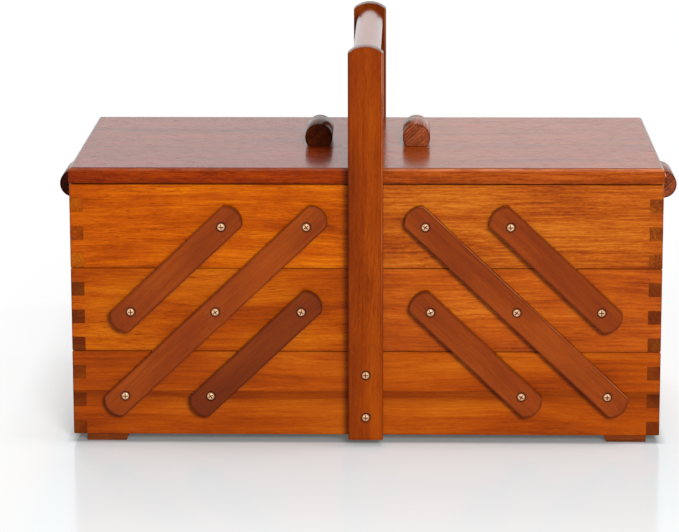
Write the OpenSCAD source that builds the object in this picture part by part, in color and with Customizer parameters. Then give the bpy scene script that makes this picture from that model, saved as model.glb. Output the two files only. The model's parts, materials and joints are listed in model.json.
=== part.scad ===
// Wooden sewing carrier with three tiers: one full-width bottom box, two middle trays and two
// top trays with lids, which swing out on parallel arms past a fixed carrying handle.
// +X is right, +Y is back, +Z is up; the origin is on the ground under the middle of the box.
// Right-hand pieces are drawn, and left-hand pieces are their mirror images.

/* [Box] */
// Width of the bottom box, and of the closed stack
box_w = 440; // [400:1:500]
// Depth of the bottom box from front face to back face
box_d = 235; // [190:1:280]
// Height of the boards of the bottom box
base_h = 64; // [54:0.5:75]
// Height of the boards of the trays
tier_h = 63; // [54:0.5:75]
// Thickness of the wall boards
board_t = 10; // [9:0.5:13]
// Fingers in each corner joint, counting those of both boards
finger_count = 6; // [4:2:10]
// Thickness of the plywood floors
floor_t = 4; // [3:0.5:6]
// Depth that each floor's rebate goes into the wall boards
floor_seat = 5; // [3:0.5:6]

/* [Feet] */
// Height of the feet
foot_h = 5.3; // [3:0.1:10]
// Length of each foot along the width of the box
foot_l = 32; // [20:1:50]
// Length of each foot along the depth of the box
foot_d = 32; // [20:1:50]
// Distance of each foot from the end of the box
foot_inset = 10; // [2:1:30]
// Distance of each foot from the front or back face of the box
foot_setback = 1.5; // [0.5:0.5:8]
// Length of the slope under the inner end of each foot
foot_slope = 2.5; // [0.5:0.5:6]

/* [Trays] */
// Gap between one tier and the tier that it rests on
tier_gap = 0.4; // [0.3:0.1:1]
// Gap between the left-hand and right-hand trays
centre_gap = 1; // [0.6:0.1:3]
// How much each tray face stands back from the face of the bottom box
side_play = 0.4; // [0.3:0.1:1]
// Thickness of the dividers in the top trays
divider_t = 4; // [3:0.5:6]
// Height of the dividers
divider_h = 45; // [25:1:48]
// Depth of the grooves that hold the ends of the dividers
divider_seat = 3; // [2:0.5:4]
// Distance of the long divider behind the middle of the tray
divider_back = 30; // [24:1:60]
// Gap between the short divider and the long one that it meets
divider_play = 0.1; // [0.1:0.1:0.5]

/* [Lids] */
// Thickness of the lids
lid_t = 11.5; // [9:0.5:16]
// Gap between a closed lid and the rim of its tray
lid_gap = 1; // [0.8:0.1:1.5]
// How much a lid stands out past the outer end of its tray
lid_overhang = 0.5; // [0:0.1:0.8]
// Radius on the upper edges of the lids
lid_edge_r = 3; // [1:0.5:4]

/* [Arms] */
// Width of the arms
arm_w = 20.8; // [16:0.2:24]
// Thickness of the arms
arm_t = 8; // [6:0.5:12]
// Gap between the arms and the face of the bottom box
arm_gap = 0.3; // [0.2:0.1:0.6]
// Length of an arm beyond its last pivot
arm_end = 16.7; // [14:0.1:22]
// Radius of the round ends of the arms
arm_end_r = 13; // [11:0.5:18]
// Distance of the long arm's lowest pivot from the end of the box
long_arm_inset = 40; // [30:1:50]
// Distance of the long arm's highest pivot from the middle of the box
long_arm_reach = 44; // [40:1:60]
// Distance of the lower arm from the long arm, measured along the box
lower_arm_offset = 64; // [50:1:66]
// Distance of the upper arm from the long arm, measured along the box
upper_arm_offset = 63; // [50:1:66]
// Height of the lowest pivots above the bottom edge of the box
pivot_h = 31.5; // [24:0.5:34]
// How much further apart the pivots of two tiers are than the tiers themselves
pivot_climb = 1.1; // [0:0.1:2]

/* [Screws] */
// Radius of the shanks of the pivot and handle screws
screw_r = 1.75; // [1.5:0.05:2]
// Radius of their domed heads
screw_head_r = 3.4; // [2.8:0.1:4]
// Height of their domed heads
screw_head_h = 1.7; // [1.3:0.1:2.2]
// Height of the straight rim of a domed head
screw_rim_h = 0.5; // [0.3:0.1:0.8]
// Length of the point of every screw
screw_tip = 3; // [2:0.5:4]
// Depth of the round recess that a domed head sits in
screw_sink = 1.2; // [0.8:0.1:2]
// Width of the gap around a head in its recess
recess_play = 0.6; // [0.3:0.1:1]
// Depth that the screws go into a wall board or a knob
screw_bite = 7.5; // [5:0.5:8]
// Length of the cross drive, from arm to arm
drive_w = 3.8; // [2.4:0.1:4.4]
// Width of each arm of the cross drive
drive_t = 0.8; // [0.5:0.1:1]
// Depth of the cross drive
drive_depth = 0.9; // [0.5:0.1:1.2]
// Distance between the two screws of the handle's upright
handle_screw_gap = 32.5; // [24:0.5:38]
// Height of the lower handle screw above the bottom edge of the box
handle_screw_h = 17; // [10:0.5:18]
// Distance between the two screws of a knob or a side pull
pull_screw_gap = 24; // [16:1:32]

/* [Hinges] */
// Length of each hinge
hinge_l = 30; // [24:1:40]
// Distance of each hinge from the middle of the tray's end
hinge_offset = 62; // [50:1:75]
// Width of the leaf that lies on the wood
leaf_w = 9; // [7:0.5:9.5]
// Thickness of the leaves
leaf_t = 1; // [0.8:0.1:1.4]
// Gap between the two leaves of a closed hinge
leaf_gap = 0.1; // [0.05:0.05:0.2]
// Radius of the knuckles
knuckle_r = 1.8; // [1.6:0.1:2]
// Distance of the hinge pin outside the tray's end
hinge_out = 2.6; // [2.4:0.1:3]
// Radius of the hinge pins
pin_r = 0.8; // [0.6:0.1:1]
// Radius of the shanks of the hinge screws
small_screw_r = 1; // [0.8:0.1:1.2]
// Radius of the flat heads of the hinge screws
small_head_r = 1.9; // [1.6:0.1:2.2]
// Length of the hinge screws
small_screw_l = 8; // [6:0.5:9]
// Distance between the two screws of a leaf
small_screw_gap = 18; // [14:1:20]

/* [Knobs and pulls] */
// Radius of the half-round rod that knobs and pulls are cut from
rod_r = 10.5; // [8:0.5:13]
// Length of the knobs and pulls
rod_l = 45; // [38:1:60]
// Distance from the middle of the rod to the flat side of a knob
knob_flat = 6.8; // [4:0.1:8]
// Distance from the middle of the rod to the flat side of a side pull
pull_flat = 7; // [4:0.1:8.5]
// Distance of each knob from the middle of the box
knob_x = 37.5; // [30:0.5:60]
// Distance of the side pulls below the rim of the tray
pull_drop = 17; // [15:0.5:24]

/* [Handle] */
// Width of the handle's uprights
upright_w = 26; // [20:1:32]
// Thickness of the uprights
upright_t = 15; // [12:1:20]
// Height of the top of the handle above the ground
handle_h = 301; // [285:1:330]
// Radius of the arched tops of the uprights
arch_r = 19.4; // [17:0.2:30]
// Radius on the upright's long edges
upright_edge_r = 1.5; // [0.5:0.5:3]
// Radius of the round grip
grip_r = 10.4; // [8:0.2:12]
// Distance of the grip's upper side below the top of the handle
grip_drop = 3.2; // [1:0.1:8]
// Radius of the tenons at the ends of the grip
tenon_r = 7; // [5:0.5:8]
// Length of the tenons
tenon_l = 9; // [6:0.5:10]

/* [Fits] */
// Gap between the shank of a pivot screw and the bore of its arm
pivot_play = 0.05; // [0.03:0.01:0.08]
// Gap under the head of a pivot screw
head_play = 0.1; // [0.05:0.05:0.2]
// Gap between a hinge pin and the knuckle that turns on it
pin_play = 0.05; // [0.03:0.01:0.08]
// Gap between a hinge pin and the knuckles that hold it
pin_grip = 0.01; // [0.01:0.005:0.02]
// Gap between the knuckles of one hinge
knuckle_gap = 0.2; // [0.1:0.05:0.4]
// Length that a cut runs past the wood
over = 1; // [0.5:0.1:2]

/* [Hidden] */
$fn = 64;

// Heights of the tiers, the rim and the lids
tier_pitch = tier_h + tier_gap;
base_z = foot_h;
mid_z = base_z + base_h + tier_gap;
top_z = mid_z + tier_pitch;
rim_z = top_z + tier_h;
lid_z = rim_z + lid_gap;

// Slots for the dividers' ends run past the rim, so that the dividers drop in
divider_slot = tier_h;

// Outer and inner ends of the trays, and their front and back faces
outer_x = box_w / 2;
inner_x = centre_gap / 2;
base_y = box_d / 2;
tray_y = base_y - side_play;

// Pivots of the right-hand arms: each arm leans inwards by one run for one rise
run = (outer_x - long_arm_inset - long_arm_reach) / 2;
rise = tier_pitch + pivot_climb;
arm_pitch = norm([run, rise]);
arm_angle = atan2(rise, -run);
long_x = outer_x - long_arm_inset;
lower_x = long_x - lower_arm_offset;
upper_x = long_x - run + upper_arm_offset;
base_pivot_z = base_z + pivot_h;
mid_pivot_z = base_pivot_z + rise;
top_pivot_z = mid_pivot_z + rise;
base_pivots = [[long_x, base_pivot_z], [lower_x, base_pivot_z]];
mid_pivots = [[upper_x, mid_pivot_z], [long_x - run, mid_pivot_z], [lower_x - run, mid_pivot_z]];
top_pivots = [[upper_x - run, top_pivot_z], [long_x - 2 * run, top_pivot_z]];

// Pivot screws are all alike: their heads lie on one plane in front of the box
arm_y = base_y + arm_gap;
pivot_head_y = arm_y + arm_t - screw_sink + head_play;
pivot_screw_l = pivot_head_y - base_y + screw_bite;
handle_head_y = base_y + upright_t - screw_sink;
handle_screw_l = handle_head_y - base_y + screw_bite;
handle_screw_z = [base_z + handle_screw_h, base_z + handle_screw_h + handle_screw_gap];
dome_rise = screw_head_h - screw_rim_h;
dome_r = (screw_head_r * screw_head_r + dome_rise * dome_rise) / (2 * dome_rise);
tip_r = screw_r / 5;

// Hinge pins lie just outside the trays' ends, midway between rim and lid
pin_x = outer_x + hinge_out;
pin_z = rim_z + lid_gap / 2;
knuckle_l = (hinge_l - 2 * knuckle_gap) / 3;
leaf_screw_x = outer_x - leaf_w / 2;

// Handle and grip
grip_z = handle_h - grip_drop - grip_r;
pull_z = rim_z - pull_drop;

wall_colour = [0.68, 0.32, 0.10];
end_colour = [0.52, 0.24, 0.10];
arm_colour = [0.58, 0.26, 0.09];
lid_colour = [0.60, 0.27, 0.14];
ply_colour = [0.86, 0.68, 0.45];
brass_colour = [0.88, 0.70, 0.38];

// Mirrors a right-hand piece to the left
module left() {
    mirror([1, 0, 0]) children();
}

// Mirrors a front piece to the back
module back() {
    mirror([0, 1, 0]) children();
}

// Draws a piece at the front and again at the back
module front_and_back() {
    children();
    back() children();
}

// Box between two opposite corners
module block(low, high) {
    translate(low) cube(high - low);
}

// Front wall board: it owns the top finger of each corner
module front_board(x_low, x_high, y_half, z_low, height) {
    finger_h = height / finger_count;
    block(
        [x_low + board_t, -y_half, z_low],
        [x_high - board_t, board_t - y_half, z_low + height]
    );
    for (k = [0 : 2 : finger_count - 1])
        block(
            [x_low, -y_half, z_low + height - (k + 1) * finger_h],
            [x_high, board_t - y_half, z_low + height - k * finger_h]
        );
}

// End wall board: its fingers fill what the front and back boards leave open
module end_board(x_low, y_half, z_low, height) {
    finger_h = height / finger_count;
    block(
        [x_low, board_t - y_half, z_low],
        [x_low + board_t, y_half - board_t, z_low + height]
    );
    for (k = [1 : 2 : finger_count - 1])
        block(
            [x_low, -y_half, z_low + height - (k + 1) * finger_h],
            [x_low + board_t, y_half, z_low + height - k * finger_h]
        );
}

// Plywood floor that lies in a rebate all round; below is how far a cut for it runs down
module floor_panel(x_low, x_high, y_half, z_low, below = 0) {
    wall = board_t - floor_seat;
    block(
        [x_low + wall, wall - y_half, z_low - below],
        [x_high - wall, y_half - wall, z_low + floor_t]
    );
}

// Cross drive sunk into a head whose face is at z and looks down
module cross_drive(z, width, depth) {
    for (turn = [0, 90])
        rotate([0, 0, turn])
            block([-width / 2, -drive_t / 2, z - over], [width / 2, drive_t / 2, z + depth]);
}

// Shank with a point, from a head at z = 0 up to its length
module shank(r, length) {
    cylinder(r = r, h = length - screw_tip);
    translate([0, 0, length - screw_tip]) cylinder(r1 = r, r2 = tip_r, h = screw_tip);
}

// Domed screw: the head is below z = 0 and the shank above it
module domed_screw(length) {
    difference() {
        union() {
            shank(screw_r, length);
            intersection() {
                translate([0, 0, -screw_head_h]) cylinder(r = screw_head_r, h = screw_head_h);
                translate([0, 0, dome_r - screw_head_h]) sphere(r = dome_r);
            }
        }
        cross_drive(-screw_head_h, drive_w, drive_depth);
    }
}

// Solid of a flat-headed screw: the face of its head is at z = 0, over extends a cut above it
module flat_screw_body(r, head_r, length, above = 0) {
    cone_h = head_r - r;
    cylinder(r1 = head_r, r2 = r, h = cone_h);
    cylinder(r = r, h = length);
    if (above > 0)
        translate([0, 0, -above]) cylinder(r = head_r, h = above);
}

// Flat-headed screw with its cross drive and point
module flat_screw(r, head_r, length) {
    difference() {
        union() {
            shank(r, length);
            cylinder(r1 = head_r, r2 = r, h = head_r - r);
        }
        cross_drive(0, head_r, (head_r - r) / 2);
    }
}

// Places a pivot screw, or the hole for one, at the front
module at_pivot(p) {
    translate([p[0], -pivot_head_y, p[1]]) rotate([-90, 0, 0]) children();
}

module pivot_screws(pivots) {
    for (i = [0 : len(pivots) - 1])
        at_pivot(pivots[i]) rotate([0, 0, 35 * i]) domed_screw(pivot_screw_l);
}

module pivot_holes(pivots) {
    for (p = pivots)
        at_pivot(p) cylinder(r = screw_r, h = pivot_screw_l);
}

// Places the two handle screws, or the holes for them, at the front
module at_handle_screws() {
    for (z = handle_screw_z)
        translate([0, -handle_head_y, z]) rotate([-90, 0, 0]) children();
}

module handle_holes() {
    at_handle_screws() cylinder(r = screw_r, h = handle_screw_l);
}

module base_front() {
    color(wall_colour) difference() {
        front_board(-outer_x, outer_x, base_y, base_z, base_h);
        floor_panel(-outer_x, outer_x, base_y, base_z, over);
        pivot_holes(base_pivots);
        left() pivot_holes(base_pivots);
        handle_holes();
    }
}

module base_end() {
    color(end_colour) difference() {
        end_board(outer_x - board_t, base_y, base_z, base_h);
        floor_panel(-outer_x, outer_x, base_y, base_z, over);
    }
}

module base_floor() {
    color(ply_colour) floor_panel(-outer_x, outer_x, base_y, base_z);
}

// Outline of a foot seen from the front: its inner end slopes inwards to the ground
module foot_outline() {
    polygon([[foot_slope, 0], [foot_l, 0], [foot_l, foot_h], [0, foot_h]]);
}

module feet() {
    color(arm_colour)
        for (side = [0, 1], face = [0, 1])
            mirror([side, 0, 0]) mirror([0, face, 0])
                translate([outer_x - foot_inset - foot_l, foot_setback + foot_d - base_y, 0])
                    rotate([90, 0, 0]) linear_extrude(height = foot_d) foot_outline();
}

// Outline of an upright seen from the front, standing on its lower end
module upright_outline(height) {
    intersection() {
        translate([-upright_w / 2, 0]) square([upright_w, height]);
        union() {
            translate([0, height - arch_r]) circle(r = arch_r);
            translate([-upright_w / 2, 0]) square([upright_w, height - arch_r]);
        }
    }
}

// Section of an upright seen from above, with its four long edges rounded
module upright_section() {
    r = upright_edge_r;
    translate([-upright_w / 2, r]) square([upright_w, upright_t - 2 * r]);
    translate([r - upright_w / 2, 0]) square([upright_w - 2 * r, upright_t]);
    for (x = [r - upright_w / 2, upright_w / 2 - r], y = [r, upright_t - r])
        translate([x, y]) circle(r = r);
}

module handle_front_upright() {
    height = handle_h - base_z;
    color(arm_colour) difference() {
        intersection() {
            translate([0, -base_y, base_z]) rotate([90, 0, 0])
                linear_extrude(height = upright_t) upright_outline(height);
            translate([0, -base_y - upright_t, base_z])
                linear_extrude(height = height) upright_section();
        }
        handle_holes();
        at_handle_screws()
            translate([0, 0, -screw_sink - over])
                cylinder(r = screw_head_r + recess_play, h = screw_sink + over);
        grip_solid(over);
    }
}

// Grip with a tenon at each end; past makes a cut for it overrun the shoulder inwards
module grip_solid(past = 0) {
    half = base_y - past;
    translate([0, 0, grip_z]) rotate([90, 0, 0]) {
        if (past == 0) cylinder(r = grip_r, h = 2 * half, center = true);
        cylinder(r = tenon_r, h = 2 * (base_y + tenon_l), center = true);
    }
}

module handle_grip() {
    color(arm_colour) grip_solid();
}

module base_screws() {
    color(brass_colour) front_and_back() {
        pivot_screws(base_pivots);
        left() pivot_screws(base_pivots);
        at_handle_screws() domed_screw(handle_screw_l);
    }
}

// Front board of a right-hand tray, with its floor rebate and pivot holes
module tray_front(z_low, pivots) {
    difference() {
        front_board(inner_x, outer_x, tray_y, z_low, tier_h);
        floor_panel(inner_x, outer_x, tray_y, z_low, over);
        pivot_holes(pivots);
    }
}

// End board of a right-hand tray whose lower x is x_low
module tray_end(x_low, z_low) {
    difference() {
        end_board(x_low, tray_y, z_low, tier_h);
        floor_panel(inner_x, outer_x, tray_y, z_low, over);
    }
}

module mid_front() {
    color(wall_colour) tray_front(mid_z, mid_pivots);
}

module mid_outer_end() {
    color(end_colour) tray_end(outer_x - board_t, mid_z);
}

module mid_inner_end() {
    color(end_colour) tray_end(inner_x, mid_z);
}

module mid_floor() {
    color(ply_colour) floor_panel(inner_x, outer_x, tray_y, mid_z);
}

module mid_screws() {
    color(brass_colour) front_and_back() pivot_screws(mid_pivots);
}

// Long divider across a top tray, with its ends in grooves
module long_divider(above = 0) {
    block(
        [inner_x + board_t - divider_seat, divider_back - divider_t / 2, top_z + floor_t],
        [outer_x - board_t + divider_seat, divider_back + divider_t / 2,
            top_z + floor_t + divider_h + above]
    );
}

// Short divider from the front board to the long divider, midway between two pivot screws
module short_divider(above = 0) {
    middle = (top_pivots[0][0] + top_pivots[1][0]) / 2;
    block(
        [middle - divider_t / 2, board_t - divider_seat - tray_y, top_z + floor_t],
        [middle + divider_t / 2, divider_back - divider_t / 2 - divider_play,
            top_z + floor_t + divider_h + above]
    );
}

module top_front() {
    color(wall_colour) difference() {
        tray_front(top_z, top_pivots);
        short_divider(divider_slot);
    }
}

module top_back() {
    color(wall_colour) back() tray_front(top_z, top_pivots);
}

module top_outer_end() {
    color(end_colour) difference() {
        tray_end(outer_x - board_t, top_z);
        long_divider(divider_slot);
        front_and_back() {
            hinge_leaf_plate(0);
            fixed_leaf_screws(true);
        }
        pull_screws(true);
    }
}

module top_inner_end() {
    color(end_colour) difference() {
        tray_end(inner_x, top_z);
        long_divider(divider_slot);
    }
}

module top_floor() {
    color(ply_colour) floor_panel(inner_x, outer_x, tray_y, top_z);
}

module top_dividers() {
    color(ply_colour) {
        long_divider();
        short_divider();
    }
}

// Places a hinge screw with its head at z and its point up or down, and draws it or its hole
module leaf_screws(z, turn, hole) {
    for (y = [-1, 1] * small_screw_gap / 2)
        translate([leaf_screw_x, y - hinge_offset, z]) rotate([turn, 0, 0])
            if (hole)
                flat_screw_body(small_screw_r, small_head_r, small_screw_l, over);
            else
                flat_screw(small_screw_r, small_head_r, small_screw_l);
}

module fixed_leaf_screws(hole) {
    leaf_screws(pin_z - leaf_gap / 2, 180, hole);
}

module moving_leaf_screws(hole) {
    leaf_screws(pin_z + leaf_gap / 2, 0, hole);
}

// Screws of the side pull, whose heads lie inside the tray, or the holes for them
module pull_screws(hole) {
    length = board_t + screw_bite;
    for (y = [-1, 1] * pull_screw_gap / 2)
        translate([outer_x - board_t, y, pull_z]) rotate([0, 90, 0])
            if (hole)
                flat_screw_body(screw_r, screw_head_r, length, over);
            else
                flat_screw(screw_r, screw_head_r, length);
}

module top_screws() {
    color(brass_colour) {
        front_and_back() {
            pivot_screws(top_pivots);
            fixed_leaf_screws(false);
        }
        pull_screws(false);
    }
}

// Half-round rod along Y with its flat side down and its middle at the origin
module half_round_rod(flat) {
    rotate([90, 0, 0]) linear_extrude(height = rod_l, center = true) intersection() {
        circle(r = rod_r);
        translate([-rod_r, -flat]) square([2 * rod_r, rod_r + flat]);
    }
}

module side_pull() {
    color(arm_colour) difference() {
        translate([outer_x + pull_flat, 0, pull_z]) rotate([0, 90, 0]) half_round_rod(pull_flat);
        pull_screws(true);
    }
}

// Plate of a hinge at the front: level 0 lies on the tray's rim, level 1 under the lid
module hinge_leaf_plate(level) {
    low = level == 0 ? pin_z - leaf_gap / 2 - leaf_t : pin_z + leaf_gap / 2;
    block(
        [outer_x - leaf_w, -hinge_offset - hinge_l / 2, low],
        [pin_x, hinge_l / 2 - hinge_offset, low + leaf_t]
    );
}

// One of the three knuckles' stretches along the pin, with radius r and longer by more
module knuckle_stretch(index, r, more = 0) {
    middle = (index - 1) * (knuckle_l + knuckle_gap) - hinge_offset;
    translate([pin_x, middle, pin_z]) rotate([90, 0, 0])
        cylinder(r = r, h = knuckle_l + 2 * more, center = true);
}

// Leaf with its own knuckles: others are the knuckles of the other leaf, bore is the pin hole
module hinge_leaf(level, own, others, bore) {
    difference() {
        union() {
            difference() {
                hinge_leaf_plate(level);
                for (k = others) knuckle_stretch(k, knuckle_r + knuckle_gap, knuckle_gap);
            }
            for (k = own) knuckle_stretch(k, knuckle_r);
        }
        for (k = own) knuckle_stretch(k, bore, over);
    }
}

module tray_hinges() {
    color(brass_colour) front_and_back() {
        difference() {
            hinge_leaf(0, [0, 2], [1], pin_r + pin_grip);
            fixed_leaf_screws(true);
        }
        translate([pin_x, -hinge_offset, pin_z]) rotate([90, 0, 0])
            cylinder(r = pin_r, h = hinge_l, center = true);
    }
}

module lid_hinges() {
    color(brass_colour) front_and_back() difference() {
        hinge_leaf(1, [1], [0, 2], pin_r + pin_play);
        moving_leaf_screws(true);
    }
}

// Profile of a lid from bottom to top, as wide as given, with both upper corners rounded
module lid_profile(width) {
    r = lid_edge_r;
    square([width, lid_t - r]);
    translate([r, 0]) square([width - 2 * r, lid_t]);
    for (x = [r, width - r])
        translate([x, lid_t - r]) circle(r = r);
}

// Screws of the knob, whose heads lie in the lid's underside, or the holes for them
module knob_screws(hole) {
    length = lid_t + screw_bite;
    for (y = [-1, 1] * pull_screw_gap / 2)
        translate([knob_x, y, lid_z])
            if (hole)
                flat_screw_body(screw_r, screw_head_r, length, over);
            else
                flat_screw(screw_r, screw_head_r, length);
}

module lid() {
    lid_l = outer_x + lid_overhang - inner_x;
    color(lid_colour) difference() {
        intersection() {
            translate([inner_x, tray_y, lid_z]) rotate([90, 0, 0])
                linear_extrude(height = 2 * tray_y) lid_profile(lid_l);
            translate([inner_x, -tray_y, lid_z]) rotate([90, 0, 90])
                linear_extrude(height = lid_l) lid_profile(2 * tray_y);
        }
        front_and_back() {
            hinge_leaf_plate(1);
            moving_leaf_screws(true);
        }
        knob_screws(true);
    }
}

module knob() {
    color(arm_colour) difference() {
        translate([knob_x, 0, lid_z + lid_t + knob_flat]) half_round_rod(knob_flat);
        knob_screws(true);
    }
}

module lid_screws() {
    color(brass_colour) {
        front_and_back() moving_leaf_screws(false);
        knob_screws(false);
    }
}

// Outline of an arm whose first pivot is at the origin and whose last is at length along X
module arm_outline(length) {
    back_off = arm_end - arm_end_r;
    intersection() {
        translate([-arm_end, -arm_w / 2]) square([length + 2 * arm_end, arm_w]);
        union() {
            translate([-back_off, 0]) circle(r = arm_end_r);
            translate([length + back_off, 0]) circle(r = arm_end_r);
            translate([-back_off, -arm_w / 2]) square([length + 2 * back_off, arm_w]);
        }
    }
}

// Front arm from the pivot start up to the pivot that lies tiers above it
module arm(start, tiers) {
    color(arm_colour)
        translate([start[0], -arm_y, start[1]]) rotate([90, 0, 0]) rotate([0, 0, arm_angle])
            difference() {
                linear_extrude(height = arm_t) arm_outline(tiers * arm_pitch);
                for (i = [0 : tiers])
                    translate([i * arm_pitch, 0, 0]) {
                        translate([0, 0, -over])
                            cylinder(r = screw_r + pivot_play, h = arm_t + 2 * over);
                        translate([0, 0, arm_t - screw_sink])
                            cylinder(r = screw_head_r + recess_play, h = screw_sink + over);
                    }
            }
}

module long_arm() {
    arm(base_pivots[0], 2);
}

module lower_arm() {
    arm(base_pivots[1], 1);
}

module upper_arm() {
    arm(mid_pivots[0], 1);
}

base_front();
back() base_front();  // base_back
left() base_end();  // base_left_end
base_end();  // base_right_end
base_floor();
feet();
handle_front_upright();
back() handle_front_upright();  // handle_back_upright
handle_grip();
base_screws();
left() mid_front();  // left_mid_front
left() back() mid_front();  // left_mid_back
left() mid_outer_end();  // left_mid_outer_end
left() mid_inner_end();  // left_mid_inner_end
left() mid_floor();  // left_mid_floor
left() mid_screws();  // left_mid_screws
left() top_front();  // left_top_front
left() top_back();  // left_top_back
left() top_outer_end();  // left_top_outer_end
left() top_inner_end();  // left_top_inner_end
left() top_floor();  // left_top_floor
left() top_dividers();  // left_top_dividers
left() top_screws();  // left_top_screws
left() side_pull();  // left_side_pull
left() tray_hinges();  // left_tray_hinges
left() lid();  // left_lid
left() knob();  // left_knob
left() lid_hinges();  // left_lid_hinges
left() lid_screws();  // left_lid_screws
left() long_arm();  // left_front_long_arm
left() back() long_arm();  // left_back_long_arm
left() lower_arm();  // left_front_lower_arm
left() back() lower_arm();  // left_back_lower_arm
left() upper_arm();  // left_front_upper_arm
left() back() upper_arm();  // left_back_upper_arm
mid_front();  // right_mid_front
back() mid_front();  // right_mid_back
mid_outer_end();  // right_mid_outer_end
mid_inner_end();  // right_mid_inner_end
mid_floor();  // right_mid_floor
mid_screws();  // right_mid_screws
top_front();  // right_top_front
top_back();  // right_top_back
top_outer_end();  // right_top_outer_end
top_inner_end();  // right_top_inner_end
top_floor();  // right_top_floor
top_dividers();  // right_top_dividers
top_screws();  // right_top_screws
side_pull();  // right_side_pull
tray_hinges();  // right_tray_hinges
lid();  // right_lid
knob();  // right_knob
lid_hinges();  // right_lid_hinges
lid_screws();  // right_lid_screws
long_arm();  // right_front_long_arm
back() long_arm();  // right_back_long_arm
lower_arm();  // right_front_lower_arm
back() lower_arm();  // right_back_lower_arm
upper_arm();  // right_front_upper_arm
back() upper_arm();  // right_back_upper_arm
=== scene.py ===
# Wooden sewing carrier with two lids: finish of every piece, floor, lamps and camera
import copy
import json
import math

import bpy
from mathutils import Matrix, Vector


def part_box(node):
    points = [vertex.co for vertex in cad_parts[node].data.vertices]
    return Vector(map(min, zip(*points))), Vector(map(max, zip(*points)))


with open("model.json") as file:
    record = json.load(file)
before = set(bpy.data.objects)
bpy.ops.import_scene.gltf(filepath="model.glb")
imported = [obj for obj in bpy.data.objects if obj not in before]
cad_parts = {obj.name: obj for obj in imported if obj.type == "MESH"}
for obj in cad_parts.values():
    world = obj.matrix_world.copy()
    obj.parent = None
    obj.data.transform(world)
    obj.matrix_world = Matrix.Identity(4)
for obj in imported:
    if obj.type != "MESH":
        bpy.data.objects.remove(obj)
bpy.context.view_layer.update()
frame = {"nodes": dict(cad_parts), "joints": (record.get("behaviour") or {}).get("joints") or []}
NODES = frame["nodes"]
JOINTS = {joint["name"]: joint for joint in frame["joints"]}
X_AXIS = Vector((1, 0, 0))
Y_AXIS = Vector((0, 1, 0))
Z_AXIS = Vector((0, 0, 1))
MM = 0.001


# Camera
CAMERA_PLACE = Vector((0.0329, -2.3672, 0.6188))
CAMERA_YAW = math.radians(1.337)
CAMERA_PITCH = math.radians(12.135)
CAMERA_ROLL = math.radians(-0.144)
CAMERA_LENS = 164.22
SENSOR_WIDTH = 36
CAMERA_REACH = 50


def make_camera():
    """Sets the camera at the viewpoint of the photograph."""
    data = bpy.data.cameras.new("camera")
    data.lens = CAMERA_LENS
    data.sensor_fit = "HORIZONTAL"
    data.sensor_width = SENSOR_WIDTH
    data.clip_end = CAMERA_REACH
    camera = bpy.data.objects.new("camera", data)
    bpy.context.scene.collection.objects.link(camera)
    forward = Vector((
        -math.sin(CAMERA_YAW) * math.cos(CAMERA_PITCH),
        math.cos(CAMERA_YAW) * math.cos(CAMERA_PITCH),
        -math.sin(CAMERA_PITCH),
    ))
    level = Vector((math.cos(CAMERA_YAW), math.sin(CAMERA_YAW), 0))
    right = level * math.cos(CAMERA_ROLL) + level.cross(forward) * math.sin(CAMERA_ROLL)
    up = right.cross(forward)
    turn = Matrix((right, up, -forward)).transposed()
    camera.matrix_world = Matrix.Translation(CAMERA_PLACE) @ turn.to_4x4()
    bpy.context.scene.camera = camera


def linear(red, green, blue):
    """Colour from 0-255 screen values, as the linear values that shaders take."""
    values = [channel / 255 for channel in (red, green, blue)]
    return (*(v / 12.92 if v <= 0.04045 else ((v + 0.055) / 1.055) ** 2.4 for v in values), 1)


# Places of the colour sockets of a Mix node
MIX_FIRST = 6
MIX_SECOND = 7
MIX_RESULT = 2


class Graph:
    """Adds nodes and links to one node tree."""

    def __init__(self, tree):
        self.tree = tree

    def node(self, kind, **settings):
        made = self.tree.nodes.new(kind)
        for name, value in settings.items():
            setattr(made, name, value)
        return made

    def feed(self, socket, value):
        """Links a socket to another node's output, or sets its number or colour."""
        if isinstance(value, bpy.types.NodeSocket):
            self.tree.links.new(value, socket)
        else:
            socket.default_value = value

    def math(self, operation, *values, clamp=False):
        made = self.node("ShaderNodeMath", operation=operation, use_clamp=clamp)
        for socket, value in zip(made.inputs, values):
            self.feed(socket, value)
        return made.outputs[0]

    def vector(self, operation, *values):
        made = self.node("ShaderNodeVectorMath", operation=operation)
        for socket, value in zip(made.inputs, values):
            self.feed(socket, value)
        return made.outputs["Value" if operation in ("LENGTH", "DOT_PRODUCT") else "Vector"]

    def mix(self, factor, first, second, blend="MIX"):
        made = self.node("ShaderNodeMix", data_type="RGBA", blend_type=blend)
        self.feed(made.inputs[0], factor)
        self.feed(made.inputs[MIX_FIRST], first)
        self.feed(made.inputs[MIX_SECOND], second)
        return made.outputs[MIX_RESULT]

    def noise(self, vector, stretch=None, detail=2.0, roughness=0.5):
        """Noise from 0 to 1; stretch is how many waves a unit has along each axis."""
        if stretch is not None:
            vector = self.vector("MULTIPLY", vector, stretch)
        made = self.node("ShaderNodeTexNoise")
        self.feed(made.inputs["Vector"], vector)
        made.inputs["Scale"].default_value = 1
        made.inputs["Detail"].default_value = detail
        made.inputs["Roughness"].default_value = roughness
        return made

    def spread(self, value, low, high, new_low=0.0, new_high=1.0):
        """Stretches low..high to new_low..new_high, and stops there."""
        made = self.node("ShaderNodeMapRange", clamp=True)
        for socket, number in zip(made.inputs, (value, low, high, new_low, new_high)):
            self.feed(socket, number)
        return made.outputs[0]

    def separate(self, vector):
        made = self.node("ShaderNodeSeparateXYZ")
        self.feed(made.inputs[0], vector)
        return made.outputs

    def combine(self, *values):
        made = self.node("ShaderNodeCombineXYZ")
        for socket, value in zip(made.inputs, values):
            self.feed(socket, value)
        return made.outputs[0]


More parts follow.
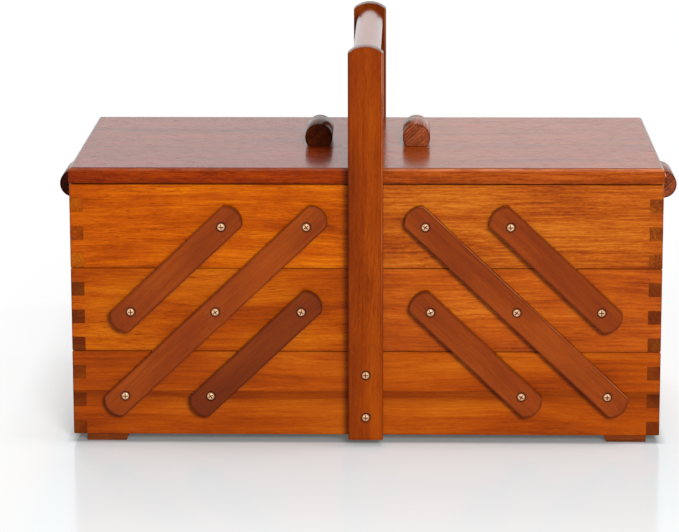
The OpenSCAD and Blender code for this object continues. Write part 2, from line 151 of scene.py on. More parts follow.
def new_material(name):
    """Empty node material and its graph, with an output and a shader."""
    material = bpy.data.materials.new(name)
    material.use_nodes = True
    material.node_tree.nodes.clear()
    graph = Graph(material.node_tree)
    output = graph.node("ShaderNodeOutputMaterial")
    shader = graph.node("ShaderNodeBsdfPrincipled")
    graph.feed(output.inputs["Surface"], shader.outputs[0])
    return material, graph, shader


def group_socket(tree, name, kind, direction):
    tree.interface.new_socket(name, in_out=direction, socket_type="NodeSocket" + kind)


# Wood figure, in millimetres: X runs along the grain, and the pith lies along X at the origin
FIGURE_INPUTS = {
    "Vector": "Vector", "Pale": "Color", "Middle": "Color", "Dark": "Color",
    "Rings": "Float", "Ribbon": "Float", "Fibre": "Float", "Flecks": "Float",
    "Blotch": "Float", "Ring spacing": "Float",
}
FIGURE_OUTPUTS = {"Color": "Color", "Height": "Float", "Roughness": "Float"}
# Slow and quick wandering of the grain: waves per mm, and reach in mm
BENDS = (
    ((0.004, 0.010, 0.010), (0, 16, 16)),
    ((0.02, 0.07, 0.07), (0, 2.0, 2.0)),
)
# Waves per mm along, across and through the grain, then detail and roughness
LAYERS = {
    "ribbon": ((0.0035, 0.06, 0.06), 2, 0.5),
    "fibre": ((0.016, 0.55, 0.55), 3, 0.65),
    "hair": ((0.07, 2.2, 2.2), 2, 0.6),
    "grit": ((0.28, 0.9, 0.9), 2, 0.6),
    "fleck": ((0.11, 1.4, 1.4), 2, 0.55),
    "crowd": ((0.012, 0.05, 0.05), 1, 0.5),
}
BLOTCH_WAVES = (0.011, 0.03, 0.03)
# Growth rings: the line that their noise is read along, and the dark late wood of each
RING_LINE = 7.3
RING_ROUGHNESS = 0.55
LATE_WOOD_POWER = 4.0
LATE_WOOD_DARK = 0.16
# Weight of the hair beside the fibre, and of the grit beside the hair
HAIR_SHARE = 0.75
GRIT_SHARE = 0.6
# Tones between which the dark colour turns to the middle one, and that to the pale one
DARK_TONES = (0.05, 0.5)
PALE_TONES = (0.5, 0.95)
FLECK_EDGE = (0.58, 0.66)
FLECK_CROWDS = (0.35, 0.65, 0.15, 1.0)
FIBRE_HEIGHT = 0.4
# Where most of a noise's values lie
NOISE_MIDDLE = (0.3, 0.7)
WOOD_ROUGHNESS = (0.38, 0.55)


def wood_group():
    """Node group that draws stained wood: ribbons, growth rings, fibres, flecks and blotches."""
    tree = bpy.data.node_groups.new("wood_figure", "ShaderNodeTree")
    for name, kind in FIGURE_INPUTS.items():
        group_socket(tree, name, kind, "INPUT")
    for name, kind in FIGURE_OUTPUTS.items():
        group_socket(tree, name, kind, "OUTPUT")
    graph = Graph(tree)
    inside = graph.node("NodeGroupInput").outputs
    result = graph.node("NodeGroupOutput").inputs
    place = inside["Vector"]
    for waves, reach in BENDS:
        push = graph.noise(place, waves, 1).outputs[1]
        push = graph.vector("SUBTRACT", push, (0.5, 0.5, 0.5))
        push = graph.vector("MULTIPLY", push, reach)
        place = graph.vector("ADD", place, push)
    layers = {name: graph.noise(place, *look).outputs[0] for name, look in LAYERS.items()}
    blotch = graph.noise(inside["Vector"], BLOTCH_WAVES).outputs[0]

    parts = graph.separate(place)
    across = graph.combine(0, parts[1], parts[2])
    radius = graph.math("DIVIDE", graph.vector("LENGTH", across), inside["Ring spacing"])
    line = graph.combine(radius, RING_LINE, 0)
    ring = graph.noise(line, roughness=RING_ROUGHNESS).outputs[0]
    late = graph.math("POWER", graph.math("FRACT", radius), LATE_WOOD_POWER)

    hair_weight = graph.math("MULTIPLY", inside["Fibre"], HAIR_SHARE)
    grit_weight = graph.math("MULTIPLY", hair_weight, GRIT_SHARE)
    tone = 0.5
    for value, weight in (
        (ring, inside["Rings"]), (layers["ribbon"], inside["Ribbon"]),
        (layers["fibre"], inside["Fibre"]), (blotch, inside["Blotch"]),
        (layers["hair"], hair_weight), (layers["grit"], grit_weight),
    ):
        centred = graph.math("SUBTRACT", value, 0.5)
        tone = graph.math("MULTIPLY_ADD", centred, weight, tone)
    late_weight = graph.math("MULTIPLY", inside["Rings"], LATE_WOOD_DARK)
    tone = graph.math("SUBTRACT", tone, graph.math("MULTIPLY", late, late_weight))
    colour = graph.mix(graph.spread(tone, *DARK_TONES), inside["Dark"], inside["Middle"])
    colour = graph.mix(graph.spread(tone, *PALE_TONES), colour, inside["Pale"])
    flecks = graph.spread(layers["fleck"], *FLECK_EDGE)
    crowded = graph.math("MULTIPLY", flecks, graph.spread(layers["crowd"], *FLECK_CROWDS))
    flecks_seen = graph.math("MULTIPLY", crowded, inside["Flecks"])
    graph.feed(result["Color"], graph.mix(flecks_seen, colour, inside["Dark"]))
    raised = graph.math("MULTIPLY", layers["fibre"], FIBRE_HEIGHT)
    graph.feed(result["Height"], graph.math("SUBTRACT", raised, flecks))
    roughness = graph.spread(layers["hair"], *NOISE_MIDDLE, *WOOD_ROUGHNESS)
    graph.feed(result["Roughness"], roughness)
    return tree


# Distances in millimetres from a point on a piece's skin to the piece's nearest edge
def box_gap(graph, place, half):
    """For a box: the second smallest of the gaps to its three pairs of faces."""
    reach = graph.vector("ABSOLUTE", place)
    first, second, third = graph.separate(graph.vector("SUBTRACT", tuple(half), reach))
    small = graph.math("MINIMUM", first, second)
    large = graph.math("MAXIMUM", first, second)
    return graph.math("MAXIMUM", small, graph.math("MINIMUM", large, third))


def arm_gap(graph, place, half, radius):
    """For an arm with X along it, whose ends are rounded with the radius."""
    along, across, through = graph.separate(graph.vector("ABSOLUTE", place))
    beyond = graph.math("MAXIMUM", graph.math("SUBTRACT", along, half.x - radius), 0.0)
    reach = graph.vector("LENGTH", graph.combine(beyond, across, 0.0))
    outline = graph.math("SUBTRACT", radius, reach)
    outline = graph.math("MINIMUM", outline, graph.math("SUBTRACT", half.y, across))
    return graph.math("MAXIMUM", outline, graph.math("SUBTRACT", half.z, through))


def rod_gap(graph, place, centre, half_length, radius):
    """For a half-round rod with X along it."""
    offset = graph.vector("SUBTRACT", place, tuple(centre))
    along, across, through = graph.separate(graph.vector("ABSOLUTE", offset))
    reach = graph.vector("LENGTH", graph.combine(0.0, across, through))
    outline = graph.math("SUBTRACT", radius, reach)
    return graph.math("MAXIMUM", outline, graph.math("SUBTRACT", half_length, along))


WOOD_GROUP = wood_group()
ARM_END_RADIUS = 13.0
# Direction that edges with a painted highlight face, and how closely they face it
HIGHLIGHT_SIDE = (0.45, -0.70, 0.555)
HIGHLIGHT_FACING = (0.80, 0.93)
# Glued joints, in mm: the dark stain below each, and the thin line at it
SEAM_STAIN = (3.0, 12.0)
SEAM_LINE = (0.15, 0.5)
SEAM_LINE_DARK = 0.5
# Steps in mm along and across the tree from one strip of a glued board to the next
STRIP_ALONG = 370.0
STRIP_ACROSS = 33.0
END_GRAIN_FACING = (0.55, 0.95)
END_GRAIN = (0.045, 0.006, 0.001, 1)
# Colour that darkens the wood by seam stain, and by rims and lid brows that are partly or wholly
# painted shade
STAIN_AND_SHADE = (0.45, 0.36, 0.3, 1)
# Dark rims, partly stain and partly painted shade, start this far from an edge in mm, and come and go
# along it; so do the painted highlights
RIM_START = 0.3
RIM_WAVES = (0.05, 0.2, 0.2)
RIM_PATCHES = (0.3, 0.6, 0.5, 1.0)
HIGHLIGHT_PATCHES = (0.4, 0.6, 0.3, 1.0)
# How far up a lid's rounded edge faces: where it has painted shade, and where the lacquer is thin
BROW_SHADE_START = (0.84, 0.92)
BROW_SHADE_END = (0.985, 0.998)
LACQUERED = (0.1, 0.7, 0.35, 1.0)
BUMP_HEIGHT = 0.1 * MM


def grain_frame(along, flat):
    """Rotation from the object's axes to the grain's: X along the grain, Z through the board."""
    along = along.normalized()
    across = along.cross(flat).normalized()
    return Matrix((along, across, along.cross(across)))


class Wood:
    """Look of one kind of stained and lacquered wood."""

    def __init__(self, pale, middle, dark, **changes):
        self.pale = pale
        self.middle = middle
        self.dark = dark
        self.rings = 0.45
        self.ribbon = 0.9
        self.fibre = 0.9
        self.flecks = 0.6
        self.blotch = 0.9
        self.spacing = 3.4
        self.shape = "box"
        self.pith = (80, 70)
        self.tilt = 0.02
        self.tint = (1, 1, 1)
        self.seams = ()
        self.seam_dark = 0.2
        self.end_shade = 0.55
        # Darkness and width of the rims along the edges: partly stain, partly painted shade
        self.edge_stain_and_shade = 0.35
        self.edge_width = 2.4
        # Strength of the painted shade where a lid's front edge turns upwards
        self.painted_brow_shade = 0.0
        # Strength and colour of the painted highlight on edges that face up and to the front right
        self.worn = 0.0
        self.worn_colour = (222, 140, 92)
        self.coat_ior = 1.2
        self.gloss = 0.16
        self.bump = 0.3
        self.__dict__.update(changes)

    def but(self, **changes):
        """The same wood with some of its values changed."""
        other = copy.copy(self)
        other.__dict__.update(changes)
        return other


def reach_along(name, turn):
    """Half sizes of a CAD piece along the grain's axes, in mm."""
    low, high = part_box(name)
    middle = (low + high) / 2
    places = [turn @ (vertex.co - middle) for vertex in NODES[name].data.vertices]
    return Vector(max(abs(place[axis]) for place in places) for axis in range(3)) / MM


def rod_centre(low, high, radius):
    """Middle of the rod that a knob or a side pull is cut from, from the box's middle in mm."""
    size = (high - low) / MM
    if size.x > size.z:
        return Vector((0, 0, size.z / 2 - radius))
    outwards = 1 if low.x + high.x > 0 else -1
    return Vector((outwards * (size.x / 2 - radius), 0, 0))


def edge_gap(graph, name, wood, box, turn, placed, local):
    """Distance in mm from a point on the piece to its nearest edge, for the wood's shape."""
    low, high = box
    half = (high - low) / 2 / MM
    if wood.shape == "arm":
        return arm_gap(graph, local, reach_along(name, turn), ARM_END_RADIUS)
    if wood.shape == "rod":
        radius = max(half.x, half.z)
        return rod_gap(graph, local, turn @ rod_centre(low, high, radius), half.y, radius)
    return box_gap(graph, placed, half)


def painted_edge_highlight(graph, normal, strength):
    """Painted highlight on rounded edges that face up and to the front right."""
    towards = graph.vector("DOT_PRODUCT", normal, HIGHLIGHT_SIDE)
    return graph.spread(towards, *HIGHLIGHT_FACING, 0.0, strength)


def seam_marks(graph, wood, across):
    """Which strip of a glued board a point is in, and the dark stain below its joints."""
    strip = 0.0
    stain = 0.0
    for seam in wood.seams:
        below = graph.math("SUBTRACT", seam, across)
        is_below = graph.math("GREATER_THAN", below, 0.0)
        strip = graph.math("ADD", is_below, strip)
        fading = graph.spread(below, *SEAM_STAIN, wood.seam_dark, 0.0)
        fading = graph.math("MULTIPLY", fading, is_below)
        line = graph.spread(graph.math("ABSOLUTE", below), *SEAM_LINE, SEAM_LINE_DARK, 0.0)
        stain = graph.math("ADD", graph.math("MAXIMUM", fading, line), stain)
    return strip, stain


def place_figure(graph, wood, local, offset):
    """Figure node with the wood's colours, read at the piece's own place in the tree."""
    figure = graph.node("ShaderNodeGroup", node_tree=WOOD_GROUP)
    graph.feed(figure.inputs["Vector"], graph.vector("ADD", local, offset))
    for socket, colour in (("Pale", wood.pale), ("Middle", wood.middle), ("Dark", wood.dark)):
        tinted = [channel * part for channel, part in zip(linear(*colour), wood.tint)]
        figure.inputs[socket].default_value = (*tinted, 1)
    for socket, value in (
        ("Rings", wood.rings), ("Ribbon", wood.ribbon), ("Fibre", wood.fibre),
        ("Flecks", wood.flecks), ("Blotch", wood.blotch), ("Ring spacing", wood.spacing),
    ):
        figure.inputs[socket].default_value = value
    return figure


def add_bump(graph, height, strength):
    """Normal of a surface with fine relief."""
    bump = graph.node("ShaderNodeBump")
    bump.inputs["Strength"].default_value = strength
    bump.inputs["Distance"].default_value = BUMP_HEIGHT
    graph.feed(bump.inputs["Height"], height)
    return bump.outputs[0]


def wood_material(name, wood, box, along, flat, shift):
    """Wood for one piece whose grain runs along one direction; shift slides it along the tree."""
    material, graph, shader = new_material(name)
    low, high = box
    turn = grain_frame(along, flat)
    coordinates = graph.node("ShaderNodeTexCoord").outputs
    normal = coordinates["Normal"]
    placed = graph.vector("SUBTRACT", coordinates["Object"], tuple((low + high) / 2))
    placed = graph.vector("SCALE", placed)
    placed.node.inputs["Scale"].default_value = 1 / MM
    mapping = graph.node("ShaderNodeMapping", vector_type="POINT")
    graph.feed(mapping.inputs["Vector"], placed)
    mapping.inputs["Rotation"].default_value = turn.to_euler()
    local = mapping.outputs[0]

    lengthwise, across, _ = graph.separate(local)
    strip, stain_and_shade = seam_marks(graph, wood, across)
    offset = graph.combine(
        graph.math("MULTIPLY_ADD", strip, STRIP_ALONG, shift),
        graph.math("MULTIPLY_ADD", strip, STRIP_ACROSS, wood.pith[0]),
        graph.math("MULTIPLY_ADD", lengthwise, wood.tilt, wood.pith[1]),
    )
    figure = place_figure(graph, wood, local, offset)
    facing = graph.vector("DOT_PRODUCT", normal, tuple(along.normalized()))
    end_grain = graph.spread(graph.math("ABSOLUTE", facing), *END_GRAIN_FACING)
    end_dark = graph.math("MULTIPLY", end_grain, 1 - wood.end_shade)
    colour = graph.mix(end_dark, figure.outputs["Color"], END_GRAIN)

    patches = graph.noise(local, RIM_WAVES).outputs[0]
    # Dark rims along the edges: partly stain, partly painted shade
    gap = edge_gap(graph, name, wood, box, turn, placed, local)
    rim = graph.spread(gap, RIM_START, wood.edge_width, wood.edge_stain_and_shade, 0.0)
    rim = graph.math("MULTIPLY", rim, graph.spread(patches, *RIM_PATCHES))
    stain_and_shade = graph.math("ADD", stain_and_shade, rim, clamp=True)
    # Painted shade where a lid's front edge turns upwards, and thinner lacquer where it faces the front
    if wood.painted_brow_shade > 0:
        upwards = graph.separate(normal)[2]
        painted_brow_shade = graph.spread(upwards, *BROW_SHADE_START, 0.0, wood.painted_brow_shade)
        painted_brow_shade = graph.math("MULTIPLY", painted_brow_shade, graph.spread(upwards, *BROW_SHADE_END, 1.0, 0.0))
        stain_and_shade = graph.math("ADD", stain_and_shade, painted_brow_shade, clamp=True)
        graph.feed(shader.inputs["Coat Weight"], graph.spread(upwards, *LACQUERED))
    else:
        shader.inputs["Coat Weight"].default_value = 1.0
    # Seam stain, the rims of stain and painted shade, and the brows of painted shade darken the wood
    colour = graph.mix(stain_and_shade, colour, graph.mix(1.0, colour, STAIN_AND_SHADE, "MULTIPLY"))
    # Painted highlight on rounded edges that face up and to the front right
    if wood.worn > 0:
        worn = painted_edge_highlight(graph, normal, wood.worn)
        worn = graph.math("MULTIPLY", worn, graph.spread(patches, *HIGHLIGHT_PATCHES))
        colour = graph.mix(worn, colour, linear(*wood.worn_colour))

    graph.feed(shader.inputs["Base Color"], colour)
    graph.feed(shader.inputs["Roughness"], figure.outputs["Roughness"])
    bumped = add_bump(graph, figure.outputs["Height"], wood.bump)
    graph.feed(shader.inputs["Normal"], bumped)
    graph.feed(shader.inputs["Coat Normal"], bumped)
    shader.inputs["Coat Roughness"].default_value = wood.gloss
    shader.inputs["Coat IOR"].default_value = wood.coat_ior
    shader.inputs["Specular IOR Level"].default_value = 0.0
    return material


def put_material(obj, material):
    for index in range(len(obj.material_slots)):
        obj.material_slots[index].link = "OBJECT"
        obj.material_slots[index].material = material


# Heights above or behind a piece's middle of the glued joints in the bottom box and the lids
BASE_SEAM = 1.8
LEFT_LID_SEAM = 57.0
RIGHT_LID_SEAM = -16.0

WALL = Wood(
    (212, 112, 9), (178, 76, 3), (126, 42, 3), edge_stain_and_shade=0.3, flecks=0.6, coat_ior=1.15,
    fibre=0.8, ribbon=0.7, blotch=1.6,
)
TIERS = {
    "base": WALL.but(
        tint=(0.83, 0.84, 1.8), end_shade=0.40, pith=(150, 90), seams=(BASE_SEAM,),
        seam_dark=0.7, ribbon=0.6, blotch=1.0, flecks=0.3, fibre=0.6,
    ),
    "left_mid": WALL.but(tint=(0.85, 0.86, 1.0), end_shade=0.27, blotch=1.1, pith=(60, 110), tilt=0.03),
    "right_mid": WALL.but(
        tint=(0.94, 1.05, 4.5), end_shade=0.30, pith=(110, 80), tilt=-0.02, flecks=0.5,
        blotch=1.0, ribbon=0.5,
    ),
    "left_top": WALL.but(tint=(1.00, 1.03, 0.6), end_shade=0.64, flecks=0.7, fibre=0.9),
    "right_top": WALL.but(
        tint=(0.88, 1.05, 4.5), end_shade=0.52, rings=0.25, fibre=1.3, flecks=0.4, blotch=1.1
    ),
}
ARM = Wood(
    (160, 73, 13), (133, 54, 8), (100, 33, 6), ribbon=0.35, rings=0.25, blotch=1.0, fibre=0.5,
    edge_stain_and_shade=0.9, edge_width=1.7, coat_ior=1.2, gloss=0.13, pith=(30, 40), shape="arm",
    worn=0.4, flecks=0.3,
)
DARK_ARM = ARM.but(tint=(0.7, 0.68, 0.8))
LID = Wood(
    (158, 62, 6), (130, 43, 1), (86, 22, 1), ribbon=0.6, fibre=1.3, blotch=0.5,
    coat_ior=1.29, gloss=0.18, bump=1.0, pith=(70, 60), seam_dark=0.25, worn=0.3, painted_brow_shade=0.9,
)
LIDS = {
    "left": LID.but(tint=(1.04, 0.99, 0.3), seams=(LEFT_LID_SEAM,)),
    "right": LID.but(tint=(1.3, 1.85, 3.5), seams=(RIGHT_LID_SEAM,), coat_ior=1.34, worn=0.75),
}
HANDLE = Wood(
    (162, 71, 5), (130, 49, 2), (96, 31, 2), ribbon=0.7, blotch=0.8, rings=0.3, fibre=0.6,
    coat_ior=1.15, worn=0.35,
)
# The back upright has a darker copy of the front upright's wood: painted shade
SHADED_BACK_HANDLE = HANDLE.but(tint=(0.72, 0.75, 0.8))
GRIP = HANDLE.but(coat_ior=1.6, worn=0.0)
KNOB = Wood(
    (200, 114, 74), (152, 78, 45), (88, 39, 19), rings=1.6, ribbon=0.3, spacing=2.2,
    coat_ior=1.11, end_shade=0.9, edge_stain_and_shade=0.95, edge_width=1.8, pith=(150, 150), shape="rod",
)
# The left knob and the left side pull are much darker than the right ones
KNOBS = {"left": KNOB.but(tint=(0.28, 0.2, 0.12)), "right": KNOB}
FOOT = Wood((154, 74, 24), (122, 54, 12), (84, 34, 8))
# Arms that are darker than the others
DARK_ARMS = ("left_front_lower_arm", "left_back_lower_arm")


# Brass and plywood: waves per metre of each noise, then its detail and roughness
BRASS_CLOUDS = ((900, 900, 900), 3, 0.6)
BRASS_ROUGHNESS = (0.16, 0.34)
BRASS_TARNISH = ((350, 350, 350), 2, 0.6)
TARNISHED = (0.35, 0.75)
BRIGHT_BRASS = linear(255, 210, 168)
DULL_BRASS = linear(220, 152, 110)
SHADED_BRASS = linear(96, 52, 28)
# Depths below the top of a screw's head: its rim in painted shade, its bright dome, and a margin above
# it
HEAD_RIM = 0.8 * MM
HEAD_DOME = 0.35 * MM
HEAD_MARGIN = 0.1 * MM
# Brass this far inwards from the faces of the arms is bright again
INSIDE_DEPTH = 3 * MM
PLY_GRAIN = ((25, 420, 420), 3, 0.6)
PLY_FIGURE = ((6, 45, 45), 3, 0.5)
PLY_FIGURE_WEIGHT = 1.2
PLY_TONES = (0.25, 0.75)
PLY_ROUGHNESS = (0.5, 0.68)
PALE_PLY = linear(226, 188, 136)
DARK_PLY = linear(194, 150, 98)
PLY_BUMP = 0.25


def brass_material():
    """Brass with painted shade in the drives and round the rims of the domed heads."""
    material, graph, shader = new_material("brass")
    shader.inputs["Metallic"].default_value = 1
    place = graph.node("ShaderNodeTexCoord").outputs["Object"]
    clouds = graph.noise(place, *BRASS_CLOUDS).outputs[0]
    roughness = graph.spread(clouds, *NOISE_MIDDLE, *BRASS_ROUGHNESS)
    graph.feed(shader.inputs["Roughness"], roughness)
    tarnish = graph.noise(place, *BRASS_TARNISH).outputs[0]
    colour = graph.mix(graph.spread(tarnish, *TARNISHED), BRIGHT_BRASS, DULL_BRASS)
    depth = graph.math("ABSOLUTE", graph.separate(place)[1])
    arm_top = -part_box("left_front_long_arm")[0].y
    screw_top = -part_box("left_mid_screws")[0].y
    handle_top = -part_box("base_screws")[0].y
    unshaded = graph.spread(depth, screw_top - HEAD_RIM, screw_top - HEAD_DOME)
    on_arms = graph.math("LESS_THAN", depth, screw_top + HEAD_MARGIN)
    unshaded = graph.math("MULTIPLY", unshaded, on_arms)
    on_handle = graph.spread(depth, handle_top - HEAD_RIM, handle_top - HEAD_DOME)
    unshaded = graph.math("MAXIMUM", unshaded, on_handle)
    inside = graph.math("LESS_THAN", depth, arm_top - INSIDE_DEPTH)
    unshaded = graph.math("MAXIMUM", unshaded, inside)
    # Painted shade in the drives and round the rims of the domed heads
    graph.feed(shader.inputs["Base Color"], graph.mix(unshaded, SHADED_BRASS, colour))
    return material


def plywood_material():
    """Pale plywood of the floors and dividers, with its grain along the box."""
    material, graph, shader = new_material("plywood")
    place = graph.node("ShaderNodeTexCoord").outputs["Object"]
    grain = graph.noise(place, *PLY_GRAIN).outputs[0]
    figure = graph.noise(place, *PLY_FIGURE).outputs[0]
    centred = graph.math("SUBTRACT", figure, 0.5)
    tone = graph.math("MULTIPLY_ADD", centred, PLY_FIGURE_WEIGHT, grain)
    colour = graph.mix(graph.spread(tone, *PLY_TONES), PALE_PLY, DARK_PLY)
    graph.feed(shader.inputs["Base Color"], colour)
    roughness = graph.spread(grain, *NOISE_MIDDLE, *PLY_ROUGHNESS)
    graph.feed(shader.inputs["Roughness"], roughness)
    graph.feed(shader.inputs["Normal"], add_bump(graph, grain, PLY_BUMP))
    return material


def board_names(tier):
    return [name for name in NODES if name.startswith(tier) and name.endswith(("front", "back", "end"))]


def joint_box(names):
    """Box round several nodes together."""
    boxes = [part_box(name) for name in names]
    low = Vector(min(box[0][axis] for box in boxes) for axis in range(3))
    high = Vector(max(box[1][axis] for box in boxes) for axis in range(3))
    return low, high


# Steps in mm that set the pieces apart along the tree
TIER_STEP = 430.0
NAME_STEP = 170.0
PIECE_STEP = 210.0
SIDE_STEP = 90.0
BACK_SHIFT = 300.0


def finish_wood():
    """Gives every CAD piece its finish: its own board of wood, plywood or brass."""
    materials = {}
    for index, (tier, wood) in enumerate(TIERS.items()):
        box = joint_box(board_names(tier))
        for name in board_names(tier):
            shift = TIER_STEP * index + NAME_STEP * len(name)
            along, flat = (Y_AXIS, -X_AXIS) if name.endswith("_end") else (X_AXIS, Y_AXIS)
            materials[name] = wood_material(name, wood, box, along, flat, shift)
    for side in ("left", "right"):
        low_pivot = Vector(JOINTS[side + "_open"]["pos_m"])
        high_pivot = Vector(JOINTS[side + "_top_tray_level"]["pos_m"])
        arm_line = high_pivot - low_pivot
        for index, name in enumerate(name for name in NODES if name.startswith(side)):
            shift = PIECE_STEP * index + SIDE_STEP * len(side)
            if name.endswith("_lid"):
                kind, along, flat = LIDS[side], X_AXIS, -Z_AXIS
            elif name.endswith("_arm"):
                kind = DARK_ARM if name in DARK_ARMS else ARM
                along, flat = arm_line, Y_AXIS
            elif name.endswith(("_knob", "_side_pull")):
                kind, along, flat = KNOBS[side], Y_AXIS, Z_AXIS
            else:
                continue
            materials[name] = wood_material(name, kind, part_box(name), along, flat, shift)
    for name, kind, along, flat, shift in (
        ("handle_front_upright", HANDLE, Z_AXIS, Y_AXIS, 0.0),
        ("handle_back_upright", SHADED_BACK_HANDLE, Z_AXIS, Y_AXIS, BACK_SHIFT),
        ("handle_grip", GRIP, Y_AXIS, Z_AXIS, 0.0),
        ("feet", FOOT, X_AXIS, Z_AXIS, 0.0),
    ):
        materials[name] = wood_material(name, kind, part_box(name), along, flat, shift)
    plywood = plywood_material()
    brass = brass_material()
    for name, obj in NODES.items():
        if name.endswith(("_screws", "_hinges")):
            put_material(obj, brass)
        else:
            put_material(obj, materials.get(name, plywood))


# Rounded edges
# Edges of round holes and recesses are cut into stretches shorter than this
SHORTEST_EDGE = 0.62 * MM
WELD_DISTANCE = 0.002 * MM
FLAT_ANGLE = math.radians(0.5)
SHARP_ANGLE = math.radians(30)
# An edge of a tray's outline lies this close to two or more of the outline's faces
ON_FACE = 0.05 * MM
MORE_THAN_ONE = 1.5
# Share of the radius that all other sharp edges get
SMALL_SHARE = 0.12
# A place and a length outside the object, so that nothing is on the outline or long enough
FAR_OFF = Vector((10, 10, 10))
# Radius in mm and segments, of the boards and then by the end of a piece's name
BOARD_ROUNDING = (0.8, 3)
ROUNDING = {
    "_arm": (1.5, 4),
    "_upright": (1.6, 4),
    "_knob": (1.0, 3),
    "_side_pull": (1.0, 3),
    "feet": (0.4, 3),
}


def edge_group():
    """Geometry nodes that mark edges for rounding: a tray's outer edges, or a piece's long edges."""
    tree = bpy.data.node_groups.new("edge_marks", "GeometryNodeTree")
    for name, kind in (
        ("Geometry", "Geometry"), ("Middle", "Vector"), ("Half", "Vector"), ("Shortest", "Float"),
    ):
        group_socket(tree, name, kind, "INPUT")
    group_socket(tree, "Geometry", "Geometry", "OUTPUT")
    graph = Graph(tree)
    inside = graph.node("NodeGroupInput").outputs
    result = graph.node("NodeGroupOutput").inputs
    place = graph.node("GeometryNodeInputPosition").outputs[0]
    gap = graph.vector("ABSOLUTE", graph.vector("SUBTRACT", place, inside["Middle"]))
    gap = graph.vector("ABSOLUTE", graph.vector("SUBTRACT", gap, inside["Half"]))
    faces = 0.0
    for part in graph.separate(gap):
        on_face = graph.math("LESS_THAN", part, ON_FACE)
        faces = graph.math("ADD", on_face, faces)
    outer = graph.math("GREATER_THAN", faces, MORE_THAN_ONE)
    ends = graph.node("GeometryNodeInputMeshEdgeVertices").outputs
    edge = graph.vector("SUBTRACT", ends["Position 1"], ends["Position 2"])
    long = graph.math("GREATER_THAN", graph.vector("LENGTH", edge), inside["Shortest"])
    angle = graph.node("GeometryNodeInputMeshEdgeAngle").outputs["Unsigned Angle"]
    sharp = graph.math("GREATER_THAN", angle, SHARP_ANGLE)
    chosen = graph.spread(graph.math("MAXIMUM", outer, long), 0, 1, SMALL_SHARE, 1.0)
    store = graph.node("GeometryNodeStoreNamedAttribute", data_type="FLOAT", domain="EDGE")
    graph.feed(store.inputs["Geometry"], inside["Geometry"])
    store.inputs["Name"].default_value = "bevel_weight_edge"
    graph.feed(store.inputs["Value"], graph.math("MULTIPLY", sharp, chosen))
    graph.feed(result["Geometry"], store.outputs[0])
    return tree


EDGE_GROUP = edge_group()


def round_edges(obj, radius, segments, tray=None):
    """Rounds sharp edges; a board of a tray is rounded only where the tray's own edges are."""
    weld = obj.modifiers.new("weld", "WELD")
    weld.merge_threshold = WELD_DISTANCE
    flat = obj.modifiers.new("flat", "DECIMATE")
    flat.decimate_type = "DISSOLVE"
    flat.angle_limit = FLAT_ANGLE
    marks = obj.modifiers.new("marks", "NODES")
    marks.node_group = EDGE_GROUP
    low, high = tray or (FAR_OFF, FAR_OFF)
    values = {
        "Middle": tuple((low + high) / 2),
        "Half": tuple((high - low) / 2),
        "Shortest": FAR_OFF.x if tray else SHORTEST_EDGE,
    }
    for item in EDGE_GROUP.interface.items_tree:
        if item.name in values:
            marks[item.identifier] = values[item.name]
    bevel = obj.modifiers.new("bevel", "BEVEL")
    bevel.width = radius * MM
    bevel.segments = segments
    bevel.limit_method = "WEIGHT"
    bevel.harden_normals = True
    bevel.use_clamp_overlap = True


def round_all_edges():
    """Rounds the trays, arms, uprights, knobs, side pulls and feet."""
    for tier in TIERS:
        tray = joint_box(board_names(tier))
        for name in board_names(tier):
            round_edges(NODES[name], *BOARD_ROUNDING, tray)
    for name, obj in NODES.items():
        for ending, rounding in ROUNDING.items():
            if name.endswith(ending):
                round_edges(obj, *rounding)


# Floor, world and lamps, in metres
# Half sizes of the bottom box and feet, as they stand on the floor
BOX_HALF = (0.22, 0.1175, 1.0)
FLOOR_RADIUS = 9.0
FLOOR_POINTS = 96
FLOOR_GLOSS = 0.14
FLOOR_IOR = 1.3
WHITE = (1, 1, 1, 1)
COOL_WHITE = (0.92, 0.985, 1, 1)
# Colour of the floor for the light that it throws back on the object
BOUNCE_GREY = (0.55, 0.55, 0.55, 1)
# Each fade has its start and end, as distances from the box, and its strength at both
COOL_FADE = (0.05, 0.35, 1.0, 0.0)
COOL_SIDE_FADE = (0.0, 0.02, 1.0, 0.0)
PAINTED_SHADOW_FADE = (0.0, 0.006, 0.42, 1.0)
WHITE_FADE = (0.0, 0.25, 0.12, 1.0)
WHITE_SIDE_FADE = (0.0, 0.06, 0.25, 0.93)
GLOSS_FADE = (0.18, 0.5, 1.0, 0.0)
GLOSS_SIDE_FADE = (0.02, 0.12, 1.0, 0.0)
# The same on the lit side, as places along X
LIT_SIDE_FADE = (0.225, 0.26, 0.0, 0.98)
WORLD_LEVEL = 0.3
LAMP_AIM = Vector((0, 0, 0.1))
KEY_PLACE = (0.64, -2.564, 1.168)
BACK_PLACE = (-0.4, 1.9, 2.05)
OVERHEAD_PLACE = (0.5, -0.1, 1.6)


def seen_directly(graph):
    """1 for rays of the camera, of mirror reflections and through glass, and 0 for all others."""
    paths = graph.node("ShaderNodeLightPath").outputs
    seen = graph.math("MAXIMUM", paths["Is Camera Ray"], paths["Is Glossy Ray"])
    return graph.math("MAXIMUM", seen, paths["Is Transmission Ray"])


def blend_shaders(graph, share, first, second):
    """Mixes two shader nodes, with the second one's share."""
    blend = graph.node("ShaderNodeMixShader")
    for socket, value in zip(blend.inputs, (share, first.outputs[0], second.outputs[0])):
        graph.feed(socket, value)
    return blend


def floor_disc():
    """Wide round floor under the feet."""
    turns = [2 * math.pi * index / FLOOR_POINTS for index in range(FLOOR_POINTS)]
    rim = [(FLOOR_RADIUS * math.cos(turn), FLOOR_RADIUS * math.sin(turn), 0) for turn in turns]
    mesh = bpy.data.meshes.new("floor")
    mesh.from_pydata(rim, [], [list(range(FLOOR_POINTS))])
    floor = bpy.data.objects.new("floor", mesh)
    bpy.context.scene.collection.objects.link(floor)
    return floor


